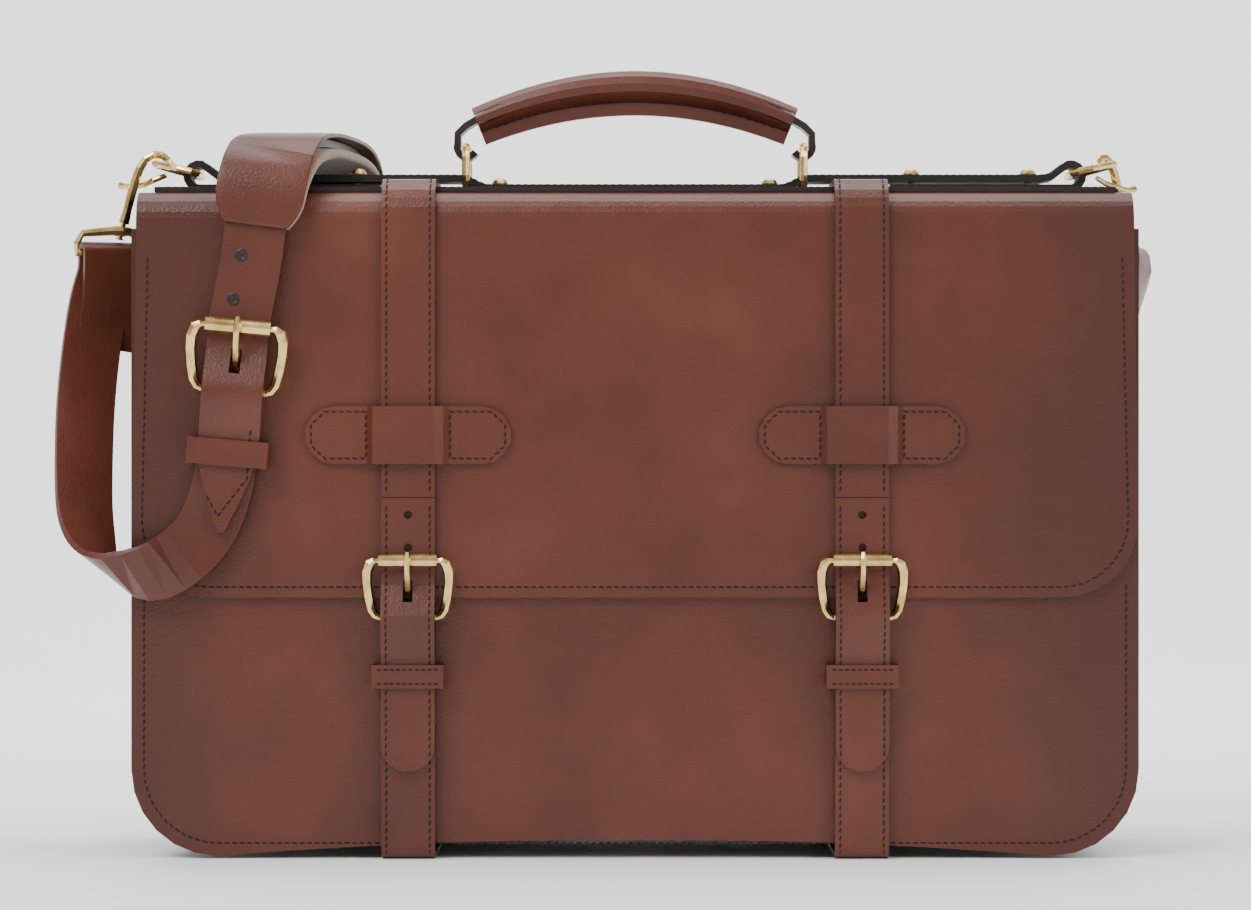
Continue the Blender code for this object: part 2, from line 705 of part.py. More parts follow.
def make_hook(side, place, hook_axis, trigger_axis, loop_parent):
    """Trigger snap hook: hook with its swivel post, sprung trigger, and the strap's loop."""
    across = place.across
    post = [(-4.0, 0.5), (-3.8, 1.9), (-3.2, 1.9), (-3.1, 1.1), (3.3, 1.1), (3.5, 2.3), (5.2, 2.3)]
    path = [(COLLAR[0] + SHANK.x * s, COLLAR[1] + SHANK.y * s, r) for s, r in post]
    path += [(12.2, -20, 1.9), (10.6, -13.5, 2.1), (8.9, -7.5, 2.0), (6.9, -2.0, 1.9)]
    path += [(4.2, 2.3, 1.8), (0.6, 4.3, 1.7), (-3.2, 3.9, 1.7), (-6.0, 1.6, 1.5), (-7.2, -0.6, 1.2)]
    points = [place.at(o, z) for o, z, _ in path]
    shape = wire(points, [r for *_, r in path], across, 8)
    add_mesh(f"hook_{side}", shape, hook_axis, BRASS, 0.2, 1.0)

    gate = [(16.6, -9.0, 1.6), (14.5, -9.4, 1.4), (11.6, -9.8, 1.3), (5.2, -8.9, 1.3)]
    gate += [(0.6, -7.0, 1.3), (-5.0, -4.9, 1.1)]
    points = [place.at(o, z) + across * (3.7 if o > 4.0 else 0.0) for o, z, _ in gate]
    shape = wire(points, [r for *_, r in gate], across, 8)
    add_mesh(f"trigger_{side}", shape, trigger_axis, BRASS, 0.2, 1.0)

    bar = place.at(20.1, -39.5)
    collar = place.at(*COLLAR)
    top = collar - bar
    offset = top.dot(place.bar_width)
    corners = [(-15.5, 0), (-15.5, 4), (-13, 8.6), (offset - 4, 10), (offset, 9.8), (offset + 3.5, 9.8)]
    corners += [(14, 7.8), (15.5, 4), (15.5, 0)]
    radii = [1.5, 1.5, 1.6, 2.1, 2.6, 2.1, 1.6, 1.5, 1.5]
    normal_shift = top - place.bar_width * offset - Vector((0, 0, top.z))
    points = []
    for u, z in corners:
        points.append(bar + place.bar_width * u + Vector((0, 0, z)) + normal_shift * (z / 9.8))
    shape = wire(points, radii, place.bar_width.cross(Vector((0, 0, 1))), 8, closed=True)
    loop = add_mesh(f"swivel_loop_{side}", shape, loop_parent, BRASS, 0.2, 1.0)
    hole = [place.at(COLLAR[0] + SHANK.x * s, COLLAR[1] + SHANK.y * s) for s in (-6, 6)]
    cut(loop, rod(*hole, 1.5, 10))
    return bar


# ---------------------------------------------------------------- the shoulder strap

HEEL = (-171.1, -58.2, 200.2)
TILT = math.radians(5)


def fold_end(bar, width, back):
    """A strap end turned over a loop's bar; back is the side its long layer comes up on."""
    turn = []
    for a in range(0, 181, 20):
        t = math.radians(a)
        turn.append(bar + back * 3.7 * math.cos(t) + Vector((0, 0, 3.7 * math.sin(t))))
    return turn, [width] * len(turn)


def strap_short_route(place, bar, width):
    """Middle line of the short strap, from its fold at the buckle to its tab at the left hook."""
    start = fold_points(place)
    route = [
        ((-173.5, -63.4, 176), (1, 0, -0.1)),
        ((-176.0, -63.0, 160), (0.98, 0, -0.2)),
        ((-182.0, -62.5, 143), (0.93, 0, -0.37)),
        ((-193.0, -64.0, 130), (0.78, 0, -0.62)),
        ((-209.0, -68.0, 122.5), (0.35, 0.45, -0.8)),
        ((-228.0, -60.0, 126), (0.5, 0.75, -0.4)),
        ((-237.0, -42.0, 144), (0.75, 0.65, 0)),
        ((-240.0, -26.0, 168), (0.88, 0.47, -0.1)),
        ((-240.5, -13.0, 200), (0.9, 0.43, 0)),
        ((-237.5, -3.0, 235), (0.9, 0.43, 0)),
    ]
    back = Vector((-width.y, width.x, 0))
    turn, _ = fold_end(bar, width, back)
    middle = [Vector(p) for p, _ in route] + [turn[0] - Vector((0, 0, 8))]
    sides = [Vector(w) for _, w in route] + [width]
    curve = smooth([start[-1], *middle], 3)[1:]
    sides = smooth([place.across, *sides], 3)[1:]
    tab = [turn[-1] - Vector((0, 0, 8)), turn[-1] + back * 1.2 - Vector((0.5, 0, 24))]
    tab += [turn[-1] + back * 1.6 - Vector((3.2, 0, 42))]
    points = start + curve + turn + tab
    widths = [place.across] * len(start) + sides + [width] * (len(turn) + len(tab))
    return points, widths


def strap_long_route(place, bar, width):
    """Middle line of the long strap, from its pointed tip over the case to the right hook."""
    low = [(7.7, -54), (7.7, -30), (7.7, -17.5), (9.1, -11.5), (11.4, -4.5), (11.9, 0.8)]
    low += [(9.6, 6.5), (6.6, 13.5), (5.4, 20.5), (5.4, 28)]
    start = [place.at(0, h, v) for h, v in low]
    route = [
        ((-163.5, -64.8, 256), (1, 0, -0.13)),
        ((-160.8, -65.0, 277), (1, 0, -0.13)),
        ((-158.0, -62.0, 293), (1, 0, -0.1)),
        ((-154.0, -51.0, 304), (1, 0, 0)),
        ((-149.0, -30.0, 308.5), (1, 0, 0)),
        ((-143.5, 0.0, 309.3), (1, 0, 0)),
        ((-138.0, 30.0, 308.0), (1, 0, 0)),
        ((-134.5, 50.0, 303), (1, 0, 0)),
        ((-132.5, 61.5, 291), (1, 0, 0)),
        ((-131.5, 64.6, 272), (1, 0, 0)),
        ((-131.0, 64.6, 235), (1, 0, 0)),
        ((-131.0, 64.6, 195), (1, 0, 0)),
        ((-128.0, 68.0, 160), (0.85, 0.5, 0)),
        ((-113.0, 71.5, 130), (0.35, 0.95, 0)),
        ((-80.0, 72.5, 110), (0, 1, 0)),
        ((-20.0, 72.5, 98), (0, 1, 0)),
        ((50.0, 72.5, 97), (0, 1, 0)),
        ((115.0, 72.5, 107), (0, 1, 0)),
        ((165.0, 72.5, 127), (0, 1, 0)),
        ((203.0, 74.0, 156), (0.05, 1, 0)),
        ((222.5, 69.0, 190), (0.1, 1, 0)),
        ((223.5, 46.0, 222), (0.1, 1, 0)),
    ]
    back = Vector((width.y, -width.x, 0))
    turn, _ = fold_end(bar, width, back)
    middle = [Vector(p) for p, _ in route] + [turn[0] - Vector((0, 0, 10))]
    sides = [Vector(w) for _, w in route] + [width]
    curve = smooth([start[-1], *middle], 3)[1:]
    sides = smooth([place.across, *sides], 3)[1:]
    tab = [turn[-1] - Vector((0, 0, 8)), turn[-1] + back * 0.6 - Vector((0, 0, 24))]
    points = start + curve + turn + tab
    widths = [place.across] * len(start) + sides + [width] * (len(turn) + len(tab))
    return points, widths


def make_shoulder_strap(flap, left_bar, right_bar):
    up = Vector((math.sin(TILT), 0, math.cos(TILT)))
    across = Vector((math.cos(TILT), 0, -math.sin(TILT)))
    place = Place(HEEL, across, up, STRAP_SCALE)

    points, widths = strap_short_route(place, left_bar, Vector((0.9, 0.43, 0)).normalized())
    shape = strap(points, STRAP_WIDTH, 3.0, widths)
    short = add_mesh("strap_short", shape, flap, LEATHER)
    cut(short, tongue_slot(place))

    points, widths = strap_long_route(place, right_bar, Vector((0.3, 0.95, 0)).normalized())
    halves = [1.5, 12.5] + [STRAP_WIDTH / 2] * (len(points) - 2)
    shape = strap(points, 0, STRAP_THICKNESS, widths, halves)
    long = add_mesh("strap_long", shape, flap, LEATHER)
    cut(long, tongue_hole(place))

    heel = axis_empty("strap_heel_axis", place.at(0, HEEL_OUT, 0), flap)
    roller = axis_empty("strap_roller_axis", place.at(0, ROLLER_OUT, ROLLER_UP), heel)
    tongue = axis_empty("strap_tongue_axis", place.at(0, HEEL_OUT, 0), heel)
    make_buckle("strap_buckle", place, heel, tongue, roller)
    keeper = axis_empty("strap_keeper_axis", place.at(0, 6, -22), flap)
    make_keeper("strap_keeper", place, -28.5, keeper)
    make_pad(flap, points, widths)


def make_pad(flap, points, widths):
    """The shoulder pad: a cushion under the strap and a cover over it, following the strap."""
    chosen = [i for i, p in enumerate(points) if (p.z > 270 or p.y > 60) and p.z > 188 and p.x < 0]
    chosen = list(range(chosen[0], chosen[-1] + 1))
    middle = [points[i] for i in chosen]
    frames = frames_on(middle, [widths[i] for i in chosen])
    last = len(chosen) - 1
    for name, low, high, colour in (
        ("pad_cushion", -7.0, -2.2, SUEDE),
        ("pad_cover", 2.2, 4.6, LEATHER),
    ):
        sections = []
        for i in range(len(chosen)):
            near = min(i, last - i)
            half = PAD_WIDTH / 2 * (0.72 if near == 0 else 0.93 if near == 1 else 1.0)
            sections.append([(-half, low), (half, low), (half, high), (-half, high)])
        turned_frames = [(c, u, n if outward_is(n, c) else -n) for c, u, n in frames]
        add_mesh(name, sweep(turned_frames, sections), flap, colour, 0.7)


def outward_is(normal, point):
    """Whether a strap's normal points away from the middle of the case."""
    return normal.dot(point - Vector((point.x, 0, 240))) > 0


def build():
    clear_scene()
    frame = axis_empty("case_frame", (0, 0, 0))
    case = axis_empty("case", (0, 0, 0), frame)
    flap = axis_empty("flap_hinge_axis", (0, *HINGE), case)
    make_panels(case)
    make_gusset(case)
    make_inside(case)
    make_flap(flap)
    for side, sign in (("left", -1), ("right", 1)):
        make_belt(side, sign, case, flap)
        make_flap_loop(side, sign, flap)
    make_base_strap(flap)
    make_studs(flap)

    left = axis_empty("handle_ring_left_axis", (-RING_X, 0, RING_LOW), flap)
    right = axis_empty("handle_ring_right_axis", (RING_X, 0, RING_LOW), flap)
    make_handle_ring("left", -1, left)
    make_handle_ring("right", 1, right)
    make_handle(axis_empty("handle_axis", (-RING_X, 0, RING_HIGH), left))

    bars = []
    tip = END_RING_DEPTH * math.cos(RING_TILT)
    rise = END_RING_DEPTH * math.sin(RING_TILT)
    held_left = (-(END_RING_X + tip), 0, END_RING_Z + rise)
    held_right = (END_RING_X + 0.82 * tip, 8.4, END_RING_Z + 0.82 * rise)
    width_left, width_right = Vector((0.9, 0.43, 0)), Vector((0.3, 0.95, 0))
    places = (
        ("left", -1, HookPlace(held_left, (-1, 0, 0), width_left.normalized())),
        ("right", 1, HookPlace(held_right, (0.72, 0.694, 0), width_right.normalized())),
    )
    for side, sign, place in places:
        ring = axis_empty(f"end_ring_{side}_axis", (sign * END_RING_X, 0, END_RING_Z), flap)
        make_end_ring(side, sign, ring)
        hook = axis_empty(f"hook_{side}_axis", place.at(*COLLAR), ring)
        trigger = axis_empty(f"trigger_{side}_axis", place.at(*PIVOT), hook)
        bars.append(make_hook(side, place, hook, trigger, ring))
    make_shoulder_strap(flap, *bars)
    frame.location = Vector((*FRAME_SHIFT, 0)) * MM


build()
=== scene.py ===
import json
import math

import bmesh
import bpy
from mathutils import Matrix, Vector

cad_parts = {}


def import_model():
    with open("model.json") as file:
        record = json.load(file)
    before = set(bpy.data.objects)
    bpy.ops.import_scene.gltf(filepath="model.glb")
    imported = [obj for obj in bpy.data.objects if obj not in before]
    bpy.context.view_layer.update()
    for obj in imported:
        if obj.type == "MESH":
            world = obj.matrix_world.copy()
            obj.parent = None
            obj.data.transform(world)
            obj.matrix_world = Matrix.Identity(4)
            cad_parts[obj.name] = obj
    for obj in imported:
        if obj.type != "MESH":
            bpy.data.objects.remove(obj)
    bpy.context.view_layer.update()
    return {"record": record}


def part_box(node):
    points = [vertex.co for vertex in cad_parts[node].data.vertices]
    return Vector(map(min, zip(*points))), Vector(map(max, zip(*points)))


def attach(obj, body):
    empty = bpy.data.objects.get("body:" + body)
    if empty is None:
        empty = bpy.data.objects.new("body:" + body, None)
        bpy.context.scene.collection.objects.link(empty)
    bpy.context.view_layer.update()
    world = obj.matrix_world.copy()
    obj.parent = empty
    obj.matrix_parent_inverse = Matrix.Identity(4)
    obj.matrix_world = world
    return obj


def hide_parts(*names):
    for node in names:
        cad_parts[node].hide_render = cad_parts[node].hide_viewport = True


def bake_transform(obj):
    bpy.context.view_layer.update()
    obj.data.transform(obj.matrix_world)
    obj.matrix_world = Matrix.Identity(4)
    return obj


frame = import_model()


# ---------------------------------------------------------------- materials

def new_material(name):
    material = bpy.data.materials.new(name)
    material.use_nodes = True
    nodes, links = material.node_tree.nodes, material.node_tree.links
    return material, nodes, links, nodes["Principled BSDF"]


def add_noise(nodes, links, scale, detail=6.0, roughness=0.55):
    place = nodes.new("ShaderNodeTexCoord")
    noise = nodes.new("ShaderNodeTexNoise")
    noise.inputs["Scale"].default_value = scale
    noise.inputs["Detail"].default_value = detail
    noise.inputs["Roughness"].default_value = roughness
    links.new(place.outputs["Object"], noise.inputs["Vector"])
    return noise


def add_ramp(nodes, links, source, stops):
    ramp = nodes.new("ShaderNodeValToRGB")
    elements = ramp.color_ramp.elements
    while len(elements) < len(stops):
        elements.new(0.5)
    for element, (at, colour) in zip(elements, stops):
        element.position = at
        element.color = (*colour, 1.0)
    links.new(source, ramp.inputs["Fac"])
    return ramp


def wax_darkening_and_side_shade(nodes, links, colour, dark):
    """Darken the leather towards the bag's two sides: partly darkening from handling and wax,
    partly painted shade where the panels turn away from the light.
    """
    place = nodes.new("ShaderNodeTexCoord")
    split = nodes.new("ShaderNodeSeparateXYZ")
    links.new(place.outputs["Object"], split.inputs["Vector"])
    reach = nodes.new("ShaderNodeMath")
    reach.operation = "ABSOLUTE"
    links.new(split.outputs["X"], reach.inputs[0])
    ease = nodes.new("ShaderNodeMapRange")
    ease.interpolation_type = "SMOOTHSTEP"
    ease.inputs["From Min"].default_value = 0.13
    ease.inputs["From Max"].default_value = 0.225
    ease.inputs["To Max"].default_value = 0.75
    links.new(reach.outputs["Value"], ease.inputs["Value"])
    blend = nodes.new("ShaderNodeMix")
    blend.data_type = "RGBA"
    links.new(ease.outputs["Result"], blend.inputs["Factor"])
    links.new(colour, blend.inputs["A"])
    blend.inputs["B"].default_value = (*dark, 1.0)
    return blend.outputs["Result"]


def leather(name, dark, main, light, roughness=0.4, grain=0.00025, coat=0.16, sides=None):
    """Pull-up leather: cloudy colour, fine pores and creases, a waxy top coat."""
    material, nodes, links, shader = new_material(name)
    cloud = add_noise(nodes, links, 14.0)
    colours = add_ramp(nodes, links, cloud.outputs["Fac"],
                       [(0.25, dark), (0.5, main), (0.75, light)])
    colour = colours.outputs["Color"]
    if sides:
        colour = wax_darkening_and_side_shade(nodes, links, colour, sides)
    links.new(colour, shader.inputs["Base Color"])
    rough = add_noise(nodes, links, 90.0)
    spread = nodes.new("ShaderNodeMapRange")
    spread.inputs["To Min"].default_value = roughness - 0.08
    spread.inputs["To Max"].default_value = roughness + 0.14
    links.new(rough.outputs["Fac"], spread.inputs["Value"])
    links.new(spread.outputs["Result"], shader.inputs["Roughness"])
    shader.inputs["Coat Weight"].default_value = coat
    shader.inputs["Coat Roughness"].default_value = 0.3
    shader.inputs["Specular IOR Level"].default_value = 0.32
    place = nodes.new("ShaderNodeTexCoord")
    pores = nodes.new("ShaderNodeTexVoronoi")
    pores.inputs["Scale"].default_value = 950.0
    links.new(place.outputs["Object"], pores.inputs["Vector"])
    fine = nodes.new("ShaderNodeBump")
    fine.inputs["Distance"].default_value = grain
    fine.inputs["Strength"].default_value = 0.45
    links.new(pores.outputs["Distance"], fine.inputs["Height"])
    crease = add_noise(nodes, links, 60.0, 8.0, 0.6)
    broad = nodes.new("ShaderNodeBump")
    broad.inputs["Distance"].default_value = 0.0016
    broad.inputs["Strength"].default_value = 0.35
    links.new(crease.outputs["Fac"], broad.inputs["Height"])
    links.new(fine.outputs["Normal"], broad.inputs["Normal"])
    links.new(broad.outputs["Normal"], shader.inputs["Normal"])
    return material


def suede(name, dark, light):
    material, nodes, links, shader = new_material(name)
    nap = add_noise(nodes, links, 160.0, 10.0, 0.7)
    colours = add_ramp(nodes, links, nap.outputs["Fac"], [(0.3, dark), (0.7, light)])
    links.new(colours.outputs["Color"], shader.inputs["Base Color"])
    shader.inputs["Roughness"].default_value = 0.95
    shader.inputs["Sheen Weight"].default_value = 0.5
    bump = nodes.new("ShaderNodeBump")
    bump.inputs["Distance"].default_value = 0.0004
    bump.inputs["Strength"].default_value = 0.6
    links.new(nap.outputs["Fac"], bump.inputs["Height"])
    links.new(bump.outputs["Normal"], shader.inputs["Normal"])
    return material


def brass(name):
    material, nodes, links, shader = new_material(name)
    tarnish = add_noise(nodes, links, 110.0)
    colours = add_ramp(nodes, links, tarnish.outputs["Fac"],
                       [(0.35, (0.55, 0.36, 0.12)), (0.6, (0.86, 0.62, 0.27))])
    links.new(colours.outputs["Color"], shader.inputs["Base Color"])
    shader.inputs["Metallic"].default_value = 1.0
    spread = nodes.new("ShaderNodeMapRange")
    spread.inputs["To Min"].default_value = 0.12
    spread.inputs["To Max"].default_value = 0.3
    links.new(tarnish.outputs["Fac"], spread.inputs["Value"])
    links.new(spread.outputs["Result"], shader.inputs["Roughness"])
    return material


TAN_DARK = (0.064, 0.0145, 0.0074)
TAN = (0.092, 0.0215, 0.0112)
TAN_LIGHT = (0.12, 0.030, 0.0162)
CHESTNUT = leather("chestnut leather", TAN_DARK, TAN, TAN_LIGHT, roughness=0.34)
# the sides colour is painted shade towards the bag's two sides, partly also darkening from
# handling and wax
PANEL = leather("chestnut panel leather", TAN_DARK, TAN, TAN_LIGHT, roughness=0.34,
                sides=(0.05, 0.0115, 0.0066))
DARK = leather("burnished leather", (0.010, 0.004, 0.003), (0.018, 0.007, 0.005),
               (0.03, 0.012, 0.009), roughness=0.42)
EDGE = leather("waxed cut edge", (0.007, 0.005, 0.0045), (0.012, 0.009, 0.008),
               (0.02, 0.015, 0.013), roughness=0.45, coat=0.1)
LINING = suede("suede lining", (0.2, 0.1, 0.05), (0.36, 0.21, 0.12))
THREAD = leather("maroon thread", (0.012, 0.003, 0.0025), (0.02, 0.005, 0.004),
                 (0.03, 0.008, 0.006), roughness=0.7, coat=0.0)
BRASS = brass("polished brass")

# ---------------------------------------------------------------- helpers
# Coordinates below are millimetres in the case frame: x right, y back, z up.

panel_low, panel_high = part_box("front_panel")
back_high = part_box("back_panel")[1]
SHIFT = Vector(((panel_low[0] + panel_high[0]) / 2,
                (panel_low[1] + back_high[1]) / 2, 0.0))


def world(x, y, z):
    return Vector((x, y, z)) / 1000.0 + SHIFT


def link(name, vertices, faces, material):
    mesh = bpy.data.meshes.new(name)
    mesh.from_pydata([tuple(v) for v in vertices], [], faces)
    mesh.validate()
    shape = bpy.data.objects.new(name, mesh)
    bpy.context.scene.collection.objects.link(shape)
    mesh.materials.append(material)
    for face in mesh.polygons:
        face.use_smooth = True
    return shape


CURVED = ("strap_long", "strap_short", "pad_cover", "pad_cushion", "handle_cover")


def modify(shape, kind, **settings):
    bpy.context.view_layer.objects.active = shape
    modifier = shape.modifiers.new(kind.title(), kind)
    for key, value in settings.items():
        setattr(modifier, key, value)
    bpy.ops.object.modifier_apply(modifier=modifier.name)


def join_triangles(shape):
    """Bring quads back, so that bevels and subdivision follow the piece's own length."""
    grid = bmesh.new()
    grid.from_mesh(shape.data)
    bmesh.ops.remove_doubles(grid, verts=grid.verts, dist=1e-6)
    bmesh.ops.join_triangles(grid, faces=grid.faces, angle_face_threshold=math.radians(25),
                             angle_shape_threshold=math.radians(60))
    grid.to_mesh(shape.data)
    grid.free()


def refine(node, material, bevel=0.0008, segments=3, edge=None, edge_axis=None):
    """A finer visible copy of a CAD node: rounded edges and two leather finishes."""
    source = bpy.data.objects[node]
    shape = source.copy()
    shape.data = source.data.copy()
    shape.name = f"{node}_visible"
    shape.parent = None
    shape.matrix_world = source.matrix_world.copy()
    bpy.context.scene.collection.objects.link(shape)
    shape.data.materials.clear()
    shape.data.materials.append(material)
    if node in CURVED:
        join_triangles(shape)
        segments = 2
    if edge is not None:
        shape.data.materials.append(edge)
        side = {"x": 0, "y": 1, "z": 2}[edge_axis]
        for face in shape.data.polygons:
            face.material_index = int(abs(face.normal[side]) > 0.75)
    if bevel:
        modify(shape, "BEVEL", width=bevel, segments=segments, limit_method="ANGLE",
               angle_limit=math.radians(28), use_clamp_overlap=True,
               miter_outer="MITER_ARC")
    if node in CURVED:
        modify(shape, "SUBSURF", levels=2)
    for face in shape.data.polygons:
        face.use_smooth = True
    modify(shape, "WEIGHTED_NORMAL", keep_sharp=False)
    return shape


def stitches(name, rows, body, pitch=3.2, length=2.3, radius=0.36):
    """Thread seen as short raised capsules laid along each row of (point, outward)."""
    vertices, faces = [], []
    for row in rows:
        points = [p for p, _ in row]
        outwards = [n for _, n in row]
        at = [0.0]
        for a, b in zip(points, points[1:]):
            at.append(at[-1] + (b - a).length * 1000.0)
        count = max(1, int(at[-1] / pitch))
        for index in range(count):
            middle = (index + 0.5) * at[-1] / count
            k = max(i for i in range(len(at) - 1) if at[i] <= middle)
            share = (middle - at[k]) / max(at[k + 1] - at[k], 1e-6)
            centre = points[k].lerp(points[k + 1], share)
            along = (points[k + 1] - points[k]).normalized()
            out = outwards[k].lerp(outwards[k + 1], share).normalized()
            across = along.cross(out).normalized()
            along = (along + across * 0.12).normalized()
            for t, size in ((-1, 0.35), (-0.6, 0.95), (0, 1.0), (0.6, 0.95), (1, 0.35)):
                for angle in range(6):
                    turn = math.tau * angle / 6
                    vertices.append(centre + along * (t * length / 2000)
                                    + (across * math.cos(turn) * 1.15
                                       + out * math.sin(turn)) * radius * size / 1000)
            first = len(vertices) - 30
            for ring in range(4):
                for angle in range(6):
                    a = first + ring * 6 + angle
                    b = first + ring * 6 + (angle + 1) % 6
                    faces.append((a, b, b + 6, a + 6))
            faces.append(tuple(first + 5 - i for i in range(6)))
            faces.append(tuple(first + 24 + i for i in range(6)))
    shape = link(name, vertices, faces, THREAD)
    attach(shape, body)
    return shape


def lay(shape, points, direction):
    """Drop a path onto a shape: (surface point, outward normal) every 2 mm."""
    direction = Vector(direction)
    row = []
    for a, b in zip(points, points[1:]):
        a, b = world(*a), world(*b)
        steps = max(1, int((b - a).length / 0.002))
        for step in range(steps + 1):
            origin = a.lerp(b, step / steps) - direction * 0.15
            hit, place, normal, _ = shape.ray_cast(origin, direction)
            if hit and (not row or (place - row[-1][0]).length > 0.0005):
                row.append((place, normal))
    return row


def outline(half_top, half_bottom, top, bottom, radius):
    """Down the left side, round two bottom corners and up the right, in x and z."""
    points = [(-half_top, top), (-half_bottom, bottom + radius)]
    for corner, centre in ((180, -half_bottom + radius), (270, half_bottom - radius)):
        for step in range(0, 91, 9):
            turn = math.radians(corner + step)
            points.append((centre + radius * math.cos(turn),
                           bottom + radius + radius * math.sin(turn)))
    return points + [(half_top, top)]


def case_box(node):
    a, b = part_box(node)
    return ([(a[i] - SHIFT[i]) * 1000 for i in range(3)],
            [(b[i] - SHIFT[i]) * 1000 for i in range(3)])


# ---------------------------------------------------------------- leather and brass pieces

BENDING = ("strap_long", "pad_cover", "pad_cushion")
seen = {}

LEATHER_LOOKS = {
    "front_panel": (PANEL, 0.0009, EDGE, "z"),
    "back_panel": (PANEL, 0.0009, EDGE, "z"),
    "gusset": (DARK, 0.0008, None, None),
    "centre_divider": (LINING, 0.0005, None, None),
    "inner_pocket": (LINING, 0.0008, None, None),
    "lower_belt_left": (CHESTNUT, 0.0007, EDGE, "x"),
    "lower_belt_right": (CHESTNUT, 0.0007, EDGE, "x"),
    "keeper_left": (CHESTNUT, 0.0006, EDGE, "z"),
    "keeper_right": (CHESTNUT, 0.0006, EDGE, "z"),
    "flap": (PANEL, 0.0010, EDGE, "x"),
    "top_reinforcement": (DARK, 0.0006, EDGE, "x"),
    "upper_belt_left": (CHESTNUT, 0.0007, EDGE, "x"),
    "upper_belt_right": (CHESTNUT, 0.0007, EDGE, "x"),
    "belt_end_left": (CHESTNUT, 0.0007, EDGE, "x"),
    "belt_end_right": (CHESTNUT, 0.0007, EDGE, "x"),
    "flap_loop_left": (CHESTNUT, 0.0007, EDGE, "z"),
    "flap_loop_right": (CHESTNUT, 0.0007, EDGE, "z"),
    "handle_base_strap": (DARK, 0.0007, EDGE, "y"),
    "handle_cover": (CHESTNUT, 0.0010, None, None),
    "handle_core": (DARK, 0.0006, None, None),
    "strap_short": (CHESTNUT, 0.0007, None, None),
    "strap_long": (CHESTNUT, 0.0007, None, None),
    "strap_keeper": (CHESTNUT, 0.0006, None, None),
    "pad_cushion": (LINING, 0.0015, None, None),
    "pad_cover": (CHESTNUT, 0.0015, None, None),
}
bodies = {}
for body, members in frame["record"]["behaviour"]["bodies"].items():
    for member in members:
        bodies[member] = body

for node, (material, bevel, edge, axis) in LEATHER_LOOKS.items():
    shape = refine(node, material, bevel, edge=edge, edge_axis=axis)
    seen[node] = shape
    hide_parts(node)
    if node in BENDING:
        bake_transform(shape)
    else:
        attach(shape, bodies[node])

for node in bodies:
    if node not in LEATHER_LOOKS:
        shape = refine(node, BRASS, 0.0003, segments=2)
        seen[node] = shape
        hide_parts(node)
        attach(shape, bodies[node])

# ---------------------------------------------------------------- stitching

FRONT, TOP, BACK = (0, 1, 0), (0, 0, -1), (0, -1, 0)
ABOVE = 330.0               # a height clear of everything a row is dropped onto from above
FLAP_INSET = 4.5            # from the flap's lower edge to its stitching
PANEL_INSET = 5.5           # the same on the front and back panels
PANEL_ROW = 210.5           # half the width between the panels' two side rows
PANEL_TURN = 32.0           # radius of those rows round the lower corners
BELT_INSET = 2.2            # from a belt's edge to its row
PATCH_ROW = 2.4             # from a sewn patch's edge to its row
KEEPER_THREAD = (2.6, 1.9)              # stitch pitch and length
HANDLE_THREAD = (3.6, 2.6, 0.42)        # stitch pitch, length and thread radius


def stitch_rows(name, node, paths, direction, *thread):
    """Stitch a node along each path that lands on it."""
    rows = [lay(seen[node], path, direction) for path in paths]
    stitches(name, [row for row in rows if len(row) > 2], bodies[node], *thread)


def at_front(points):
    return [(x, 0, z) for x, z in points]


flap_bottom = case_box("flap")[0][2]
panel_bottom = case_box("front_panel")[0][2]
stitch_rows("flap_stitches", "flap",
            [at_front(outline(208.5, 211.0, 258.0, flap_bottom + FLAP_INSET, 29.0))], FRONT)
for node, top, direction in (("front_panel", 118.0, FRONT), ("back_panel", 262.0, BACK)):
    border = outline(PANEL_ROW, PANEL_ROW, top, panel_bottom + PANEL_INSET, PANEL_TURN)
    stitch_rows(f"{node}_stitches", node, [at_front(border)], direction)

for side in ("left", "right"):
    for kind in ("upper_belt", "lower_belt", "belt_end"):
        node = f"{kind}_{side}"
        a, b = case_box(node)
        edges = (a[0] + BELT_INSET, b[0] - BELT_INSET)
        rows = [lay(seen[node], [(x, 0, a[2] + 2), (x, 0, b[2] - 3)], FRONT) for x in edges]
        if kind == "upper_belt":
            rows += [lay(seen[node], [(x, a[1] + 3, ABOVE), (x, b[1] - 3, ABOVE)], TOP)
                     for x in edges]
        stitches(f"{node}_stitches", [row for row in rows if len(row) > 2], bodies[node])
    node = f"flap_loop_{side}"
    a, b = case_box(node)
    middle = (a[0] + b[0]) / 2
    lower, upper = a[2] + PATCH_ROW, b[2] - PATCH_ROW
    patches = []
    for sign in (-1, 1):
        outer, inner = middle + sign * 41.5, middle + sign * 18
        patches.append(at_front([(inner, lower), (outer - sign * 6, lower), (outer, a[2] + 8),
                                 (outer, b[2] - 8), (outer - sign * 6, upper), (inner, upper),
                                 (inner, lower)]))
    stitch_rows(f"{node}_stitches", node, patches, FRONT)
    node = f"keeper_{side}"
    a, b = case_box(node)
    stitch_rows(f"{node}_stitches", node,
                [[(a[0] + 2, 0, z), (b[0] - 2, 0, z)] for z in (a[2] + 2.0, b[2] - 2.0)],
                FRONT, *KEEPER_THREAD)

for name, node, inset in (("top_stitches", "top_reinforcement", 3),
                          ("base_strap_stitches", "handle_base_strap", 2.4)):
    a, b = case_box(node)
    stitch_rows(name, node, [[(a[0] + 4, y, ABOVE), (b[0] - 4, y, ABOVE)]
                             for y in (a[1] + inset, b[1] - inset)], TOP)

tip = [(-186.0, 184), (-186.5, 163), (-177.5, 147), (-165.0, 163), (-163.5, 184)]
stitch_rows("strap_tip_stitches", "strap_long", [at_front(tip)], FRONT)


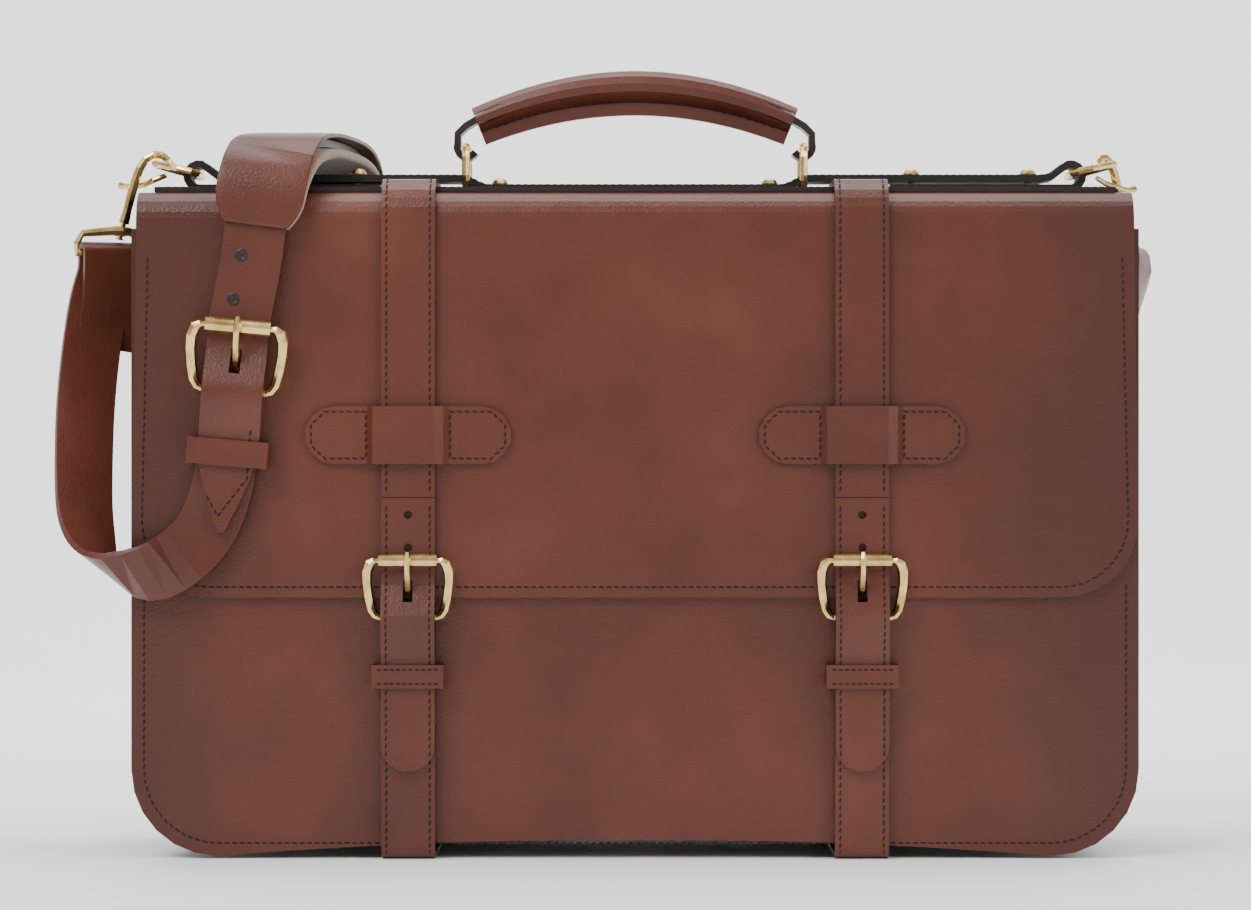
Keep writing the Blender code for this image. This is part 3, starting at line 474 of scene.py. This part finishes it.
def handle_height(x):
    """The height of the handle's arch above the floor at x."""
    return 314 + 21.5 * (1 - (x / 84) ** 2)


under_roll = [(x, 0, handle_height(x) - 6.5) for x in range(-62, 63, 4)]
for facing, direction in (("front", FRONT), ("back", BACK)):
    stitch_rows(f"handle_stitches_{facing}", "handle_cover", [under_roll], direction,
                *HANDLE_THREAD)

# ---------------------------------------------------------------- the strap's holes

HOLE_SIDES = 20
HOLE_RINGS = ((2.9, 0.0), (2.3, 0.35), (1.8, 0.3), (1.5, 0.08))     # radius and lift
HOLE_PLACES = ((-171.0, 239.3), (-167.5, 258.0), (-164.5, 274.5))   # x and z

# each hole is a dark raised rim, the punched edge's own colour, round a flat dark disc that is
# painted shade where the hole opens onto the layer beneath
hole_vertices, hole_faces = [], []
for x, z in HOLE_PLACES:
    for place, out in lay(seen["strap_long"], [(x, 0, z), (x + 0.01, 0, z)], FRONT)[:1]:
        across = out.cross(Vector((0, 0, 1))).normalized()
        up = across.cross(out).normalized()
        first = len(hole_vertices)
        for radius, lift in HOLE_RINGS:
            for step in range(HOLE_SIDES):
                turn = math.tau * step / HOLE_SIDES
                hole_vertices.append(place + (across * math.cos(turn) * radius
                                              + up * math.sin(turn) * radius
                                              + out * lift) / 1000)
        for ring in range(len(HOLE_RINGS) - 1):
            for step in range(HOLE_SIDES):
                a = first + ring * HOLE_SIDES + step
                b = first + ring * HOLE_SIDES + (step + 1) % HOLE_SIDES
                hole_faces.append((a, b, b + HOLE_SIDES, a + HOLE_SIDES))
        last_ring = first + (len(HOLE_RINGS) - 1) * HOLE_SIDES
        hole_faces.append(tuple(last_ring + step for step in range(HOLE_SIDES)))
hole_rims_and_shade_discs = link("strap_holes", hole_vertices, hole_faces, DARK)
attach(hole_rims_and_shade_discs, bodies["strap_long"])

# ---------------------------------------------------------------- floor, light, camera


def studio_light(name, place, aim, power, size, size_y):
    lamp = bpy.data.lights.new(name, "AREA")
    lamp.shape, lamp.energy, lamp.size, lamp.size_y = "RECTANGLE", power, size, size_y
    holder = bpy.data.objects.new(name, lamp)
    holder.location = place
    holder.rotation_euler = (Vector(aim) - Vector(place)).to_track_quat("-Z", "Y").to_euler()
    bpy.context.scene.collection.objects.link(holder)
    return holder


floor_material, floor_nodes, floor_links, floor_shader = new_material("pale floor")
floor_shader.inputs["Base Color"].default_value = (0.95, 0.95, 0.95, 1)
floor_shader.inputs["Roughness"].default_value = 0.6
profile = [(-4.0, 0.0), (1.6, 0.0), (2.2, 0.12), (2.6, 0.5), (2.8, 1.2), (2.8, 5.0)]
vertices = [(x, y, z) for y, z in profile for x in (-6.0, 6.0)]
floor = link("floor", vertices,
             [(2 * i, 2 * i + 1, 2 * i + 3, 2 * i + 2) for i in range(5)], floor_material)
lights = [studio_light("key", (-0.9, -1.3, 1.5), (0, 0, 0.15), 24, 0.9, 0.9),
          studio_light("fill", (1.3, -1.2, 0.9), (0, 0, 0.15), 12, 0.9, 0.9),
          studio_light("top", (0, 0.1, 1.7), (0, 0, 0.2), 26, 1.6, 1.2),
          studio_light("backdrop", (0, 0.9, 1.6), (0, 2.4, 0.4), 60, 3.0, 1.0)]
sky = bpy.data.worlds.new("studio") if not bpy.context.scene.world else bpy.context.scene.world
bpy.context.scene.world = sky
sky.use_nodes = True
sky.node_tree.nodes["Background"].inputs["Color"].default_value = (1, 1, 1, 1)
sky.node_tree.nodes["Background"].inputs["Strength"].default_value = 0.62

view = bpy.data.cameras.new("camera")
view.lens, view.sensor_width = 120.4, 36.0
eye = bpy.data.objects.new("camera", view)
eye.location = (0.0063, -1.8525, 0.173)
eye.rotation_euler = (math.radians(90), 0, 0)
bpy.context.scene.collection.objects.link(eye)
bpy.context.scene.camera = eye

bpy.context.view_layer.update()
